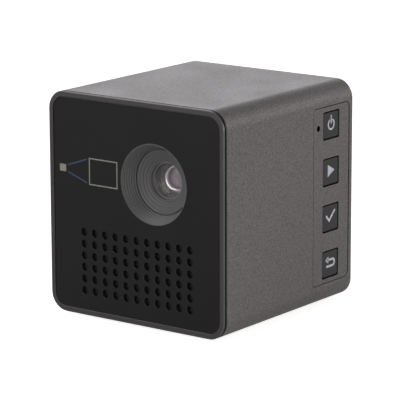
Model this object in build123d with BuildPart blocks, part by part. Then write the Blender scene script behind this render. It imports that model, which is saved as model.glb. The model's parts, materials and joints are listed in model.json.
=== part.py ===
from build123d import *
from math import asin, atan2, cos, pi, radians, sin, sqrt
import os

# A pocket cube projector. Millimetres, +X to the right as seen from the front, +Y to the
# back, +Z up. The origin is the middle of the footprint, on the surface under the feet.

# ---------------------------------------------------------------- driving dimensions
WIDTH, LENGTH, HEIGHT = 48.0, 49.0, 50.0  # the metal cube, without its feet
CORNER = 4.2                # radius of the four long edges of the cube
WALL = 0.9                  # sleeve wall
FOOT = 0.6                  # how far the feet stand out below the sleeve
SLIP = 0.05                 # gap on each side of a part that slides into another
MID_Z = FOOT + HEIGHT / 2   # height of the middle of the cube

# Depths are counted from the front face towards the back.
FLANGE = 0.35               # bezel rim in front of the seam
SLEEVE_START = 0.9          # the sleeve begins behind the seam
PANEL_FACE, PANEL_BACK = 0.15, 1.35
SPIGOT_END = 5.0
BULKHEAD_FRONT, BULKHEAD_BACK = 7.2, 8.4
GEAR_FRONT, GEAR_BACK = 9.0, 12.0
BLOCK_FRONT, BLOCK_BACK = 20.5, 33.4
REAR_COVER_FRONT, REAR_STEP, REAR_COVER_BACK = 46.4, 47.5, 48.7

PANEL_WIDTH, PANEL_HEIGHT, PANEL_CORNER = 45.5, 47.35, 2.95
POST_X, POST_Z, POST_R = 18.7, 20.8, 2.2      # corner posts, from the middle of the cube
SCREW_R, SCREW_HEAD_R, SCREW_HEAD = 0.75, 1.45, 0.7
SCREW_HOLE_R = 0.8

LENS_X, LENS_Z = 5.0, FOOT + 32.05
HOOD_R = 9.0                # the lens opening in the front panel
GRILLE_X, GRILLE_Z = 0.05, FOOT + 12.25
GRILLE_PITCH_X, GRILLE_PITCH_Z, GRILLE_HOLE_R = 2.915, 2.65, 0.93
GRILLE_COLUMNS, GRILLE_ROWS = 11, 6

MODULE, TEETH = 0.5, 38     # the focus wheel and the ring that it turns
PITCH_R = MODULE * TEETH / 2
WHEEL_X = LENS_X - 2 * PITCH_R
AXLE_R, AXLE_END = 1.0, 14.2
CLIP_GROOVE_R, CLIP_GROOVE_BACK = 0.7, 13.0
MOUNT_BORE_R, MOUNT_TUBE_R = 6.1, 7.2
NOSE_R, NOSE_GAP, BARREL_R = 4.4, 0.08, 6.04

KEY_DEPTH, KEY_PITCH = 40.35, 10.6
KEYS_MID_Z = FOOT + 25.15
KEY_HOLE, KEY_SIZE, KEY_FLANGE, KEY_ROOT = 6.3, 5.8, 7.2, 0.35
KEY_NAMES = ("back", "ok", "play", "power")   # from the bottom up
PLATE_FRONT, PLATE_BACK = 33.45, 47.4
PLATE_LOW, PLATE_HIGH = FOOT + 5.05, FOOT + 45.4
PLATE_GAP_FRONT, PLATE_GAP_BACK, PLATE_GAP_ENDS = 0.1, 0.35, 0.12
PLATE_INSIDE = WIDTH / 2 - 1.8                # x of the plate's inner face
KEY_BACK_X = PLATE_INSIDE - 0.85              # x of the back of each key
KEYBOARD_X = 18.4
KEYBOARD_THICK = 0.8
STATUS_DEPTH, STATUS_Z = 35.3, FOOT + 40.9    # the status light behind its hole

BATTERY = (30.4, 30.0, 5.6)
BOARD_Z, BOARD_THICK = 15.4, 1.0
BOARD_TOP = BOARD_Z + BOARD_THICK
BOARD_WIDTH, BOARD_FRONT, BOARD_BACK = 36.0, 9.6, 45.9
STANDOFF_X, STANDOFF_DEPTHS = 16.6, (13.0, 38.4)
DECK_LOW, DECK_HIGH, DECK_WIDTH, DECK_BACK = 6.6, 7.8, 35.6, 44.5

FAN_X, FAN_Z, FAN_SIZE = -8.5, 31.6, 25.0
FAN_FRONT, FAN_BACK = 40.0, REAR_COVER_FRONT
DUCT_R, HUB_R, BLADES = 11.7, 5.0, 7

USB_X, CARD_X, JACK_X = -14.0, -3.2, 8.2
JACK_Z = BOARD_TOP + 2.7
TRIPOD_THREAD_R, TRIPOD_R, TRIPOD_DEPTH = 2.55, 4.0, 5.2
WELL_WIDTH, WELL_HEIGHT = 6.4, 15.0           # the recess round the focus wheel


# ---------------------------------------------------------------- places and shared shapes
def y_at(depth):
    """Y of a place that is this far behind the front face."""
    return depth - LENGTH / 2


def facing_front(depth, x=0.0, z=0.0):
    """A plane seen from the front, +x right and +y up. Extruding from it comes forward."""
    return Plane(origin=(x, y_at(depth), z), x_dir=(1, 0, 0), z_dir=(0, -1, 0))


def facing_right(x, depth=0.0, z=0.0):
    """A plane seen from the right side, +x towards the back and +y up."""
    return Plane(origin=(x, y_at(depth), z), x_dir=(0, 1, 0), z_dir=(1, 0, 0))


def facing_left(x, depth=0.0, z=0.0):
    """A plane seen from the left side, +x towards the front and +y up."""
    return Plane(origin=(x, y_at(depth), z), x_dir=(0, -1, 0), z_dir=(-1, 0, 0))


def facing_up(z, x=0.0, depth=LENGTH / 2):
    """A level plane, +x right and +y towards the back."""
    return Plane(origin=(x, y_at(depth), z), x_dir=(1, 0, 0), z_dir=(0, 0, 1))


def along(x, z):
    """The line through x and z that runs from front to back."""
    return Axis((x, 0, z), (0, 1, 0))


# A half section through the lens axis: x is depth, y is the distance from the axis.
lens_section = facing_right(LENS_X, 0, LENS_Z)
lens_axis = along(LENS_X, LENS_Z)
posts = [(sx * POST_X, sz * POST_Z) for sx in (-1, 1) for sz in (-1, 1)]
standoffs = [(sx * STANDOFF_X, y_at(d)) for sx in (-1, 1) for d in STANDOFF_DEPTHS]
pillars = [(16.8, LENS_Z + 8), (16.8, LENS_Z - 8), (-6.0, LENS_Z + 11.6)]
key_heights = [KEYS_MID_Z + (n - 1.5) * KEY_PITCH for n in range(4)]


def save(piece, label):
    """Names a finished piece and writes it."""
    piece.part.label = label
    export_step(piece.part, f"parts/{label}.step")


def gear_outline(turn):
    """Corners of a spur gear of the shared module, its flanks cut straight inside the
    involute, with the first tooth at the angle turn."""
    root_r, tip_r = PITCH_R - 1.25 * MODULE, PITCH_R + MODULE
    base_r = PITCH_R * cos(radians(20))

    def unwind(r):
        return sqrt(max(r * r / base_r**2 - 1, 0)) - atan2(sqrt(max(r * r - base_r**2, 0)), base_r)

    backlash = 0.09 / PITCH_R
    half = pi / 2 / TEETH - backlash / 2 + unwind(PITCH_R)
    flank = [(root_r, half + 0.004), (base_r, half), (PITCH_R, half - unwind(PITCH_R)),
             (tip_r, half - unwind(tip_r))]
    corners = []
    for tooth in range(TEETH):
        middle = radians(turn) + 2 * pi * tooth / TEETH
        for r, a in flank:
            corners.append((r * cos(middle - a), r * sin(middle - a)))
        for r, a in reversed(flank):
            corners.append((r * cos(middle + a), r * sin(middle + a)))
    return corners


def dome_middle(at, edge, radius):
    """The middle of the arc from the axis at depth at to depth edge at this radius."""
    sag = edge - at
    ball = (radius**2 + sag**2) / (2 * sag)
    half = asin(radius / abs(ball)) / 2
    return (at + ball * (1 - cos(half)), abs(ball) * sin(half))


# ---------------------------------------------------------------- sleeve and front
# The sleeve is a drawn aluminium tube, open at the front and the back.
with BuildPart() as sleeve:
    with BuildSketch(facing_front(LENGTH, z=MID_Z)):
        RectangleRounded(WIDTH, HEIGHT, CORNER)
        RectangleRounded(WIDTH - 2 * WALL, HEIGHT - 2 * WALL, CORNER - WALL, mode=Mode.SUBTRACT)
    extrude(amount=LENGTH - SLEEVE_START)
    ends = sleeve.faces().filter_by(Axis.Y).sort_by(Axis.Y)
    chamfer(ends[0].outer_wire().edges(), length=0.12)
    chamfer(sleeve.faces().sort_by(Axis.Y)[-1].outer_wire().edges(), length=0.2)
    # the window for the key plate, square in front and round behind
    window_front = PLATE_FRONT - PLATE_GAP_FRONT
    window_back = PLATE_BACK + PLATE_GAP_BACK
    window_height = PLATE_HIGH - PLATE_LOW + 2 * PLATE_GAP_ENDS
    plate_mid_z = (PLATE_HIGH + PLATE_LOW) / 2
    with BuildSketch(facing_right(WIDTH / 2, (window_front + window_back) / 2, plate_mid_z)) as window:
        Rectangle(window_back - window_front, window_height)
        fillet(window.vertices().group_by(Axis.X)[-1], 1.6)
        fillet(window.vertices().group_by(Axis.X)[0], 0.5)
    extrude(amount=-2 * WALL, mode=Mode.SUBTRACT)
    # the opening for the focus well
    with BuildSketch(facing_left(-WIDTH / 2, (GEAR_FRONT + GEAR_BACK) / 2, LENS_Z)):
        SlotOverall(WELL_HEIGHT, WELL_WIDTH, rotation=90)
    extrude(amount=-2 * WALL, mode=Mode.SUBTRACT)
    # the tripod hole and two rows of air holes underneath
    with BuildSketch(facing_up(FOOT)):
        Circle(TRIPOD_R + SLIP)
        with Locations((0, 14.5)):
            with GridLocations(2.6, 2.6, 9, 2):
                Circle(0.8)
    extrude(amount=2 * WALL, mode=Mode.SUBTRACT)
save(sleeve, "sleeve")

# The bezel caps the front of the sleeve: rim, seam, and a spigot that slides inside.
with BuildPart() as front_bezel:
    with BuildSketch(facing_front(FLANGE, z=MID_Z)):
        RectangleRounded(WIDTH, HEIGHT, CORNER)
    extrude(amount=FLANGE)
    chamfer(front_bezel.faces().sort_by(Axis.Y)[0].outer_wire().edges(), length=0.2)
    with BuildSketch(facing_front(SLEEVE_START, z=MID_Z)):
        RectangleRounded(WIDTH - 0.8, HEIGHT - 0.8, CORNER - 0.4)
    extrude(amount=SLEEVE_START - FLANGE)
    spigot_gap = 2 * (WALL + SLIP)
    with BuildSketch(facing_front(SPIGOT_END, z=MID_Z)):
        RectangleRounded(WIDTH - spigot_gap, HEIGHT - spigot_gap, CORNER - spigot_gap / 2)
    extrude(amount=SPIGOT_END - SLEEVE_START)
    with BuildSketch(facing_front(PANEL_BACK, z=MID_Z)):
        RectangleRounded(PANEL_WIDTH + 0.16, PANEL_HEIGHT + 0.16, PANEL_CORNER + 0.08)
    extrude(amount=PANEL_BACK, mode=Mode.SUBTRACT)
    with BuildSketch(facing_front(SPIGOT_END, z=MID_Z)):
        RectangleRounded(42.6, 44.6, 6)
    extrude(amount=SPIGOT_END, mode=Mode.SUBTRACT)
    with BuildSketch(facing_front(SPIGOT_END, z=MID_Z)):
        with Locations(*posts):
            Circle(POST_R)
    extrude(amount=SPIGOT_END - PANEL_BACK)
    with Locations(facing_front(PANEL_BACK, z=MID_Z)):
        with Locations(*posts):
            CounterBoreHole(SCREW_HOLE_R + 0.1, SCREW_HEAD_R + 0.1, SCREW_HEAD + 0.2, depth=SPIGOT_END)
    chamfer(front_bezel.faces().sort_by(Axis.Y)[0].inner_wires().edges(), length=0.06)
save(front_bezel, "front_bezel")

# The gloss front panel, with the lens opening and the sound grille.
with BuildPart() as front_panel:
    with BuildSketch(facing_front(PANEL_BACK, z=MID_Z)):
        RectangleRounded(PANEL_WIDTH, PANEL_HEIGHT, PANEL_CORNER)
    extrude(amount=PANEL_BACK - PANEL_FACE)
    chamfer(front_panel.faces().sort_by(Axis.Y)[0].outer_wire().edges(), length=0.12)
    with BuildSketch(facing_front(PANEL_BACK)):
        with Locations((LENS_X, LENS_Z)):
            Circle(HOOD_R)
        with Locations((GRILLE_X, GRILLE_Z)):
            with GridLocations(GRILLE_PITCH_X, GRILLE_PITCH_Z, GRILLE_COLUMNS, GRILLE_ROWS):
                Circle(GRILLE_HOLE_R)
    extrude(amount=PANEL_BACK, mode=Mode.SUBTRACT)
save(front_panel, "front_panel")

# The lens hood: a ridged funnel, a groove, a shallow cone, and the hole for the barrel.
HOOD_MOUTH_R, RIDGES_END_R, RIDGES_END = 8.8, 7.4, 3.5
RIDGE_COUNT = 6
HOOD_THROAT = 4.5           # depth where the cone meets the hole for the barrel
with BuildPart() as lens_hood:
    with BuildSketch(lens_section):
        with BuildLine():
            outline = [(PANEL_FACE, HOOD_R - SLIP), (PANEL_FACE, HOOD_MOUTH_R)]
            ridge_depth = (RIDGES_END - PANEL_FACE) / RIDGE_COUNT
            ridge_fall = (HOOD_MOUTH_R - RIDGES_END_R) / RIDGE_COUNT
            for ridge in range(RIDGE_COUNT):
                depth = PANEL_FACE + ridge * ridge_depth
                r = HOOD_MOUTH_R - ridge * ridge_fall
                outline += [(depth + 0.30 * ridge_depth, r), (depth + 0.55 * ridge_depth, r + 0.06),
                            (depth + ridge_depth, r - ridge_fall)]
            outline += [(3.95, RIDGES_END_R), (3.95, 7.2), (3.55, 7.1), (3.66, 6.5), (3.82, 6.45),
                        (3.94, 5.8), (4.1, 5.75), (4.24, 5.1), (4.38, 5.05),
                        (HOOD_THROAT, NOSE_R + NOSE_GAP), (5.2, NOSE_R + NOSE_GAP), (5.2, 8.7),
                        (BULKHEAD_FRONT, 8.7),
                        (BULKHEAD_FRONT, 9.6), (2.4, 9.6), (2.4, 9.9), (PANEL_BACK + 0.02, 9.9),
                        (PANEL_BACK + 0.02, HOOD_R - SLIP)]
            Polyline(*outline, close=True)
        make_face()
    revolve(axis=lens_axis)
save(lens_hood, "lens_hood")

# ---------------------------------------------------------------- chassis
with BuildPart() as chassis:
    # bulkhead behind the loudspeaker and the hood
    with BuildSketch(facing_front(BULKHEAD_BACK, z=MID_Z)):
        RectangleRounded(42.0, 44.0, 3.0)
    extrude(amount=BULKHEAD_BACK - BULKHEAD_FRONT)
    # corner posts from the bezel to the rear cover
    with BuildSketch(facing_front(REAR_COVER_FRONT, z=MID_Z)):
        with Locations(*posts):
            Circle(POST_R)
    extrude(amount=REAR_COVER_FRONT - SPIGOT_END)
    # deck under the battery, with lips along its sides
    with BuildSketch(facing_up(DECK_LOW, 0, (BULKHEAD_FRONT + DECK_BACK) / 2)):
        Rectangle(DECK_WIDTH, DECK_BACK - BULKHEAD_FRONT)
    extrude(amount=DECK_HIGH - DECK_LOW)
    # tripod boss under the deck
    with BuildSketch(facing_up(FOOT + WALL + SLIP)):
        Circle(TRIPOD_R + 1.7)
    extrude(amount=DECK_LOW - FOOT - WALL)
    # standoffs for the main board
    with BuildSketch(facing_up(DECK_HIGH)):
        with Locations(*standoffs):
            Circle(1.3)
    extrude(amount=BOARD_Z - DECK_HIGH)
    # three pillars that carry the lens mount
    with BuildSketch(facing_front(BLOCK_FRONT - 1.2)):
        with Locations(*pillars):
            Circle(1.6)
    extrude(amount=BLOCK_FRONT - 1.2 - BULKHEAD_BACK)
    # bearing boss of the wheel axle
    with BuildSketch(facing_front(GEAR_FRONT - 0.1)):
        with Locations((WHEEL_X, LENS_Z)):
            Circle(2.2)
    extrude(amount=GEAR_FRONT - 0.1 - BULKHEAD_BACK)
    # holes: lens barrel, wheel axle, speaker wires, tripod bush, screws
    with BuildSketch(facing_front(BULKHEAD_BACK + 0.6)):
        with Locations((LENS_X, LENS_Z)):
            Circle(BARREL_R + 0.45)
        with Locations((WHEEL_X, LENS_Z)):
            Circle(AXLE_R)
        with Locations((-12.3, 18.2)):
            RectangleRounded(2.8, 1.6, 0.4)
    extrude(amount=2.2, mode=Mode.SUBTRACT)
    with BuildSketch(facing_up(FOOT)):
        Circle(TRIPOD_R)
    extrude(amount=TRIPOD_DEPTH + 0.6, mode=Mode.SUBTRACT)
    with Locations(facing_front(SPIGOT_END, z=MID_Z)):
        with Locations(*posts):
            Hole(SCREW_HOLE_R, depth=4.5)
    with BuildSketch(facing_front(REAR_COVER_FRONT, z=MID_Z)):
        with Locations(*posts):
            Circle(SCREW_HOLE_R)
    extrude(amount=5.5, mode=Mode.SUBTRACT)
    with Locations(facing_up(BOARD_Z)):
        with Locations(*standoffs):
            Hole(SCREW_HOLE_R, depth=4.0)
    with Locations(facing_front(BLOCK_FRONT - 1.2)):
        with Locations(*pillars):
            Hole(SCREW_HOLE_R, depth=4.0)
save(chassis, "chassis")

# ---------------------------------------------------------------- focus drive and lens
with BuildPart() as focus_wheel:
    with BuildSketch(facing_front(GEAR_BACK, WHEEL_X, LENS_Z)):
        with BuildLine():
            Polyline(*gear_outline(0), close=True)
        make_face()
        Circle(AXLE_R + SLIP, mode=Mode.SUBTRACT)
    extrude(amount=GEAR_BACK - GEAR_FRONT)
    # a shallow recess on both faces leaves a rim and a hub
    for start, way in ((GEAR_BACK, 1), (GEAR_FRONT, -1)):
        with BuildSketch(facing_front(start, WHEEL_X, LENS_Z)):
            Circle(7.6)
            Circle(2.6, mode=Mode.SUBTRACT)
        extrude(amount=0.7 * way, mode=Mode.SUBTRACT)
save(focus_wheel, "focus_wheel")

with BuildPart() as wheel_axle:
    with BuildSketch(facing_front(AXLE_END, WHEEL_X, LENS_Z)):
        Circle(AXLE_R)
    extrude(amount=AXLE_END - BULKHEAD_FRONT)
    with BuildSketch(facing_front(CLIP_GROOVE_BACK, WHEEL_X, LENS_Z)):
        Circle(AXLE_R)
        Circle(CLIP_GROOVE_R, mode=Mode.SUBTRACT)
    extrude(amount=0.5, mode=Mode.SUBTRACT)
save(wheel_axle, "wheel_axle")

with BuildPart() as wheel_clip:
    with BuildSketch(facing_front(CLIP_GROOVE_BACK - 0.05, WHEEL_X, LENS_Z)):
        Circle(2.1)
        Circle(CLIP_GROOVE_R + SLIP, mode=Mode.SUBTRACT)
        with Locations((0, -1.6)):
            Rectangle(1.3, 3.2, mode=Mode.SUBTRACT)
    extrude(amount=0.4)
save(wheel_clip, "wheel_clip")

# The ring turns on the lens mount; its first tooth sits half a pitch from the wheel's.
with BuildPart() as focus_ring:
    with BuildSketch(facing_front(GEAR_BACK, LENS_X, LENS_Z)):
        with BuildLine():
            Polyline(*gear_outline(180 / TEETH), close=True)
        make_face()
        Circle(MOUNT_TUBE_R + SLIP, mode=Mode.SUBTRACT)
    extrude(amount=GEAR_BACK - GEAR_FRONT)
save(focus_ring, "focus_ring")

with BuildPart() as lens_mount:
    with BuildSketch(facing_front(BLOCK_FRONT)):
        with Locations((5.2, LENS_Z + 0.9)):
            RectangleRounded(27.0, 21.0, 2.0)
        with Locations(pillars[2]):
            Circle(1.9)
    extrude(amount=1.2)
    with BuildSketch(facing_front(BLOCK_FRONT, LENS_X, LENS_Z)):
        Circle(MOUNT_TUBE_R)
    extrude(amount=BLOCK_FRONT - 8.8)
    with BuildSketch(facing_front(GEAR_BACK + 1.1, LENS_X, LENS_Z)):
        Circle(MOUNT_TUBE_R + 1.0)
    extrude(amount=1.0)
    with BuildSketch(facing_front(BLOCK_FRONT)):
        with Locations((LENS_X, LENS_Z)):
            Circle(MOUNT_BORE_R)
        with Locations(*pillars):
            Circle(SCREW_HOLE_R + 0.1)
    extrude(amount=BLOCK_FRONT, mode=Mode.SUBTRACT)
save(lens_mount, "lens_mount")

# The barrel: a narrow nose in the hood's hole and a body that slides in the mount.
NOSE_FRONT = 4.6
FRONT_SEAT_R, MIDDLE_SEAT_R, REAR_SEAT_R = 4.08, 3.3, 4.6
with BuildPart() as lens_barrel:
    with BuildSketch(lens_section):
        with BuildLine():
            Polyline((NOSE_FRONT, NOSE_R), (NOSE_FRONT, 4.25), (5.4, FRONT_SEAT_R), (7.5, FRONT_SEAT_R),
                     (7.5, 3.55),
                     (8.1, 3.55), (8.1, 3.62), (8.5, 3.62), (8.5, 3.5), (9.0, 3.5),
                     (9.0, MIDDLE_SEAT_R), (11.7, MIDDLE_SEAT_R), (11.7, 2.9), (14.8, 2.9),
                     (14.8, REAR_SEAT_R), (19.2, REAR_SEAT_R), (19.2, BARREL_R), (7.1, BARREL_R),
                     (7.1, NOSE_R), close=True)
        make_face()
    revolve(axis=lens_axis)
save(lens_barrel, "lens_barrel")

with BuildPart() as lens_retainer:
    with BuildSketch(lens_section):
        with BuildLine():
            Polyline((5.4, FRONT_SEAT_R), (5.4, 3.85), (5.7, 3.68), (5.9, 3.68),
                     (5.9, FRONT_SEAT_R), close=True)
        make_face()
    revolve(axis=lens_axis)
save(lens_retainer, "lens_retainer")

lenses = {
    "front_lens": (5.7, 5.98, 7.45, 7.0, FRONT_SEAT_R),
    "middle_lens": (9.1, 10.05, 10.9, 11.6, MIDDLE_SEAT_R),
    "rear_lens": (15.2, 16.2, 17.6, 18.4, REAR_SEAT_R),
}
for lens_name, (front, front_edge, back_edge, back, radius) in lenses.items():
    with BuildPart() as lens:
        with BuildSketch(lens_section):
            with BuildLine():
                ThreePointArc((front, 0), dome_middle(front, front_edge, radius), (front_edge, radius))
                Line((front_edge, radius), (back_edge, radius))
                ThreePointArc((back_edge, radius), dome_middle(back, back_edge, radius), (back, 0))
                Line((back, 0), (front, 0))
            make_face()
        revolve(axis=lens_axis)
    save(lens, lens_name)

with BuildPart() as focus_well:
    well_depth = (GEAR_FRONT + GEAR_BACK) / 2
    with BuildSketch(facing_left(-WIDTH / 2, well_depth, LENS_Z)):
        SlotOverall(WELL_HEIGHT - 2 * SLIP, WELL_WIDTH - 2 * SLIP, rotation=90)
    extrude(amount=-2.0)
    with BuildSketch(facing_left(-WIDTH / 2 + 2.0, well_depth, LENS_Z)):
        SlotOverall(WELL_HEIGHT + 1.6, WELL_WIDTH + 1.6, rotation=90)
    extrude(amount=1.0)
    # the dish that a fingertip drops into, and the slot that the wheel turns in
    with BuildSketch(facing_left(-WIDTH / 2, well_depth, LENS_Z)):
        SlotOverall(WELL_HEIGHT - 1.2, WELL_WIDTH - 1.2, rotation=90)
    extrude(amount=-1.3, taper=20, mode=Mode.SUBTRACT)
    with BuildSketch(facing_left(-WIDTH / 2, well_depth, LENS_Z)):
        Rectangle(GEAR_BACK - GEAR_FRONT + 0.5, 13.0)
    extrude(amount=-3.0, mode=Mode.SUBTRACT)
save(focus_well, "focus_well")

# ---------------------------------------------------------------- keys
with BuildPart() as key_plate:
    with BuildSketch(facing_right(WIDTH / 2, (PLATE_FRONT + PLATE_BACK) / 2, plate_mid_z)) as face:
        Rectangle(PLATE_BACK - PLATE_FRONT, PLATE_HIGH - PLATE_LOW)
        fillet(face.vertices().group_by(Axis.X)[-1], 1.35)
        fillet(face.vertices().group_by(Axis.X)[0], 0.4)
    extrude(amount=PLATE_INSIDE - WIDTH / 2)
    chamfer(key_plate.faces().sort_by(Axis.X)[-1].outer_wire().edges(), length=0.1)
    # a lip that catches behind the sleeve in front, above and below
    with BuildSketch(facing_right(PLATE_INSIDE, (PLATE_FRONT - 1.0 + 46.1) / 2, plate_mid_z)):
        Rectangle(46.1 - PLATE_FRONT + 1.0, PLATE_HIGH - PLATE_LOW + 1.8)
    extrude(amount=WIDTH / 2 - WALL - SLIP - PLATE_INSIDE)
    # bosses for the key board between the keys, each with a heat stake through the board
    with BuildSketch(facing_right(KEYBOARD_X + KEYBOARD_THICK, KEY_DEPTH, KEYS_MID_Z)):
        with Locations((0, KEY_PITCH), (0, -KEY_PITCH)):
            Circle(1.4)
    extrude(amount=PLATE_INSIDE - KEYBOARD_X - KEYBOARD_THICK)
    with BuildSketch(facing_right(WIDTH / 2, KEY_DEPTH, KEYS_MID_Z)) as holes:
        with GridLocations(0, KEY_PITCH, 1, 4):
            RectangleRounded(KEY_HOLE, KEY_HOLE, KEY_ROOT)
    extrude(amount=-4.0, mode=Mode.SUBTRACT)
    chamfer(key_plate.faces().sort_by(Axis.X)[-1].inner_wires().edges(), length=0.08)
    with BuildSketch(facing_right(WIDTH / 2, STATUS_DEPTH, STATUS_Z)):
        Circle(0.7)
    extrude(amount=-4.0, mode=Mode.SUBTRACT)
    with BuildSketch(facing_right(KEYBOARD_X + KEYBOARD_THICK, KEY_DEPTH, KEYS_MID_Z)):
        with Locations((0, KEY_PITCH), (0, -KEY_PITCH)):
            Circle(SCREW_R)
    extrude(amount=-KEYBOARD_THICK - 0.4)
save(key_plate, "key_plate")

# Each key: a cap in its hole, a flange behind the plate, and the switch's plunger.
for key_name, key_z in zip(KEY_NAMES, key_heights):
    with BuildPart() as key:
        with BuildSketch(facing_right(KEY_BACK_X, KEY_DEPTH, key_z)):
            RectangleRounded(KEY_SIZE, KEY_SIZE, KEY_ROOT)
        extrude(amount=WIDTH / 2 - 0.05 - KEY_BACK_X)
        fillet(key.faces().sort_by(Axis.X)[-1].edges(), radius=0.18)
        with BuildSketch(facing_right(KEY_BACK_X, KEY_DEPTH, key_z)):
            RectangleRounded(KEY_FLANGE, KEY_FLANGE, KEY_ROOT)
        extrude(amount=0.75)
    save(key, f"{key_name}_key")
    with BuildPart() as plunger:
        with BuildSketch(facing_right(KEY_BACK_X, KEY_DEPTH, key_z)):
            Circle(1.25)
        extrude(amount=-1.45)
    save(plunger, f"{key_name}_plunger")

with BuildPart() as key_switches:
    with BuildSketch(facing_right(KEYBOARD_X + KEYBOARD_THICK, KEY_DEPTH, KEYS_MID_Z)):
        with GridLocations(0, KEY_PITCH, 1, 4):
            RectangleRounded(4.6, 4.6, 0.3)
    extrude(amount=1.4)
    with BuildSketch(facing_right(KEYBOARD_X + KEYBOARD_THICK + 0.2, KEY_DEPTH, KEYS_MID_Z)):
        with GridLocations(0, KEY_PITCH, 1, 4):
            Circle(1.35)
    extrude(amount=1.4, mode=Mode.SUBTRACT)
save(key_switches, "key_switches")

with BuildPart() as key_board:
    with BuildSketch(facing_right(KEYBOARD_X, 40.0, KEYS_MID_Z)):
        RectangleRounded(12.0, 36.4, 0.5)
        with Locations((KEY_DEPTH - 40.0, KEY_PITCH), (KEY_DEPTH - 40.0, -KEY_PITCH)):
            Circle(SCREW_HOLE_R, mode=Mode.SUBTRACT)
    extrude(amount=KEYBOARD_THICK)
save(key_board, "key_board")

# The status light: a smoked rod from the key board to just below the plate's face.
with BuildPart() as status_light:
    with BuildSketch(facing_right(KEYBOARD_X + KEYBOARD_THICK, STATUS_DEPTH, STATUS_Z)):
        Circle(0.65)
    extrude(amount=23.2 - KEYBOARD_X - KEYBOARD_THICK)
save(status_light, "status_light")

# ---------------------------------------------------------------- loudspeaker
SPEAKER_Z = GRILLE_Z
CLOTH_BACK, SPEAKER_FRONT, SPEAKER_BACK = 1.5, 1.5, 7.0
SPEAKER_WIDTH, SPEAKER_HEIGHT, SPEAKER_WALL = 32.0, 16.4, 1.2
with BuildPart() as grille_cloth:
    with BuildSketch(facing_front(CLOTH_BACK, GRILLE_X, SPEAKER_Z)):
        RectangleRounded(SPEAKER_WIDTH, SPEAKER_HEIGHT, 1.0)
    extrude(amount=CLOTH_BACK - PANEL_BACK)
save(grille_cloth, "grille_cloth")

with BuildPart() as speaker_frame:
    with BuildSketch(facing_front(SPEAKER_BACK, GRILLE_X, SPEAKER_Z)):
        RectangleRounded(SPEAKER_WIDTH, SPEAKER_HEIGHT, 1.6)
    extrude(amount=SPEAKER_BACK - SPEAKER_FRONT)
    with BuildSketch(facing_front(5.6, GRILLE_X, SPEAKER_Z)):
        RectangleRounded(SPEAKER_WIDTH - 2 * SPEAKER_WALL, SPEAKER_HEIGHT - 2 * SPEAKER_WALL, 1.2)
    extrude(amount=5.6, mode=Mode.SUBTRACT)
    # seat for the magnet, and air holes beside it
    with BuildSketch(facing_front(SPEAKER_BACK, GRILLE_X, SPEAKER_Z)):
        Circle(5.0)
        with GridLocations(17.0, 7.0, 2, 2):
            Circle(1.4)
    extrude(amount=3.0, mode=Mode.SUBTRACT)
save(speaker_frame, "speaker_frame")

# A flat rim glued in the frame, a dished middle and a voice coil.
with BuildPart() as speaker_cone:
    with BuildSketch(facing_front(3.0, GRILLE_X, SPEAKER_Z)):
        RectangleRounded(SPEAKER_WIDTH - 2 * SPEAKER_WALL, SPEAKER_HEIGHT - 2 * SPEAKER_WALL, 1.2)
    extrude(amount=0.3)
    with BuildSketch(facing_front(3.6, GRILLE_X, SPEAKER_Z)):
        RectangleRounded(24.0, 9.6, 4.0)
    extrude(amount=0.6)
    with BuildSketch(facing_front(2.7, GRILLE_X, SPEAKER_Z)):
        RectangleRounded(22.0, 7.6, 3.4)
    extrude(amount=-0.5, taper=30, mode=Mode.SUBTRACT)
    with BuildSketch(facing_front(4.2, GRILLE_X, SPEAKER_Z)):
        Circle(3.3)
        Circle(3.0, mode=Mode.SUBTRACT)
    extrude(amount=0.6)
save(speaker_cone, "speaker_cone")

with BuildPart() as speaker_magnet:
    with BuildSketch(facing_front(SPEAKER_BACK, GRILLE_X, SPEAKER_Z)):
        Circle(4.9)
    extrude(amount=2.3)
    with BuildSketch(facing_front(4.7, GRILLE_X, SPEAKER_Z)):
        Circle(3.6)
        Circle(2.7, mode=Mode.SUBTRACT)
    extrude(amount=-0.9, mode=Mode.SUBTRACT)
save(speaker_magnet, "speaker_magnet")

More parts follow.
